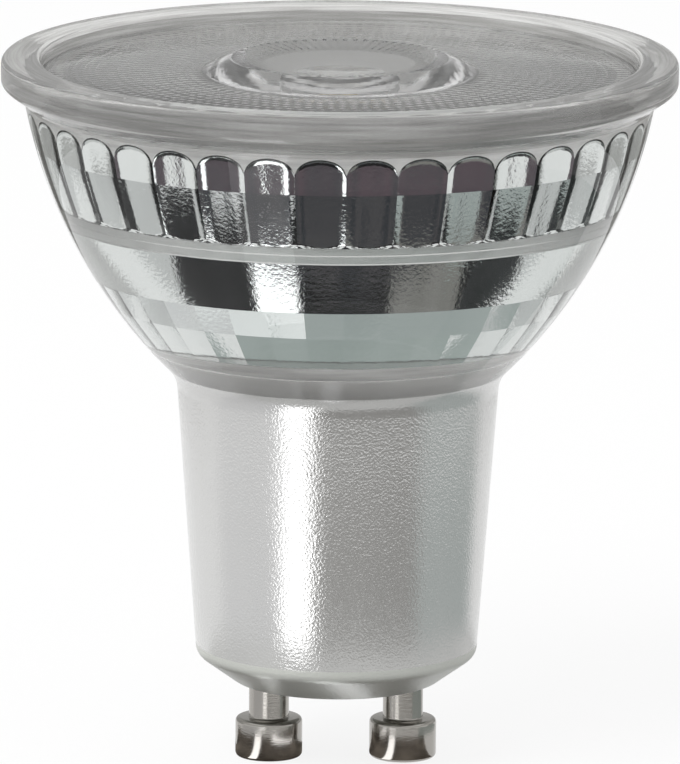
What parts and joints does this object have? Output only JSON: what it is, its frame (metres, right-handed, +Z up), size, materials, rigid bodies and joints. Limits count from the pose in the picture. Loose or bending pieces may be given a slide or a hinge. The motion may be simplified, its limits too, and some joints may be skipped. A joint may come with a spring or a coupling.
{
  "type": "gu10 spotlight bulb",
  "caption": "LED reflector spot: fluted silvered glass bowl on a narrow neck, clear beaded front lens and a twist-lock base with headed contact pins.",
  "frame": {"origin": "midway between the two contact pins, in the plane of their tips", "axes": "+Z up the lamp's axis from the pins to the lens, X through both pins"},
  "size_m": [0.05, 0.05, 0.053],
  "materials": {
    "clear_glass": "pressed, clear outside and silvered inside",
    "lens_plastic": "clear moulded, beaded underside",
    "silicone": "clear bead",
    "nickel": "bright nickel plate on brass",
    "board_white": "white solder mask over an aluminium core",
    "emitter_white": "matt",
    "phosphor": "matt gel",
    "aluminium": "pressed sheet",
    "bush_plastic": "natural nylon",
    "tinned_copper": "tinned",
    "circuit_green": "green solder mask",
    "can_sleeve": "shrink sleeve",
    "film_yellow": "moulded case",
    "ferrite": "sintered, matt",
    "copper_wire": "enamelled",
    "moulded_black": "moulded epoxy",
    "resistor_coat": "lacquered",
    "washer_steel": "plated"
  },
  "bodies": {
    "root": {"glass_reflector": "clear_glass", "front_lens": "lens_plastic", "lens_bond_ring": "silicone", "led_board": "board_white", "led_package": "emitter_white", "phosphor_disc": "phosphor", "heat_spreader": "aluminium", "lead_bushes": "bush_plastic", "led_pin_positive": "tinned_copper", "led_pin_negative": "tinned_copper", "driver_board": "circuit_green", "bulk_capacitor": "can_sleeve", "output_capacitor": "can_sleeve", "film_capacitor": "film_yellow", "inductor_core": "ferrite", "inductor_winding": "copper_wire", "bridge_rectifier": "moulded_black", "driver_chip": "moulded_black", "freewheel_diode": "moulded_black", "fuse_resistor": "resistor_coat", "sense_resistors": "moulded_black", "live_lead": "tinned_copper", "neutral_lead": "tinned_copper", "contact_pin_live": "nickel", "contact_pin_neutral": "nickel", "pin_washers": "washer_steel"}
  },
  "joints": []
}
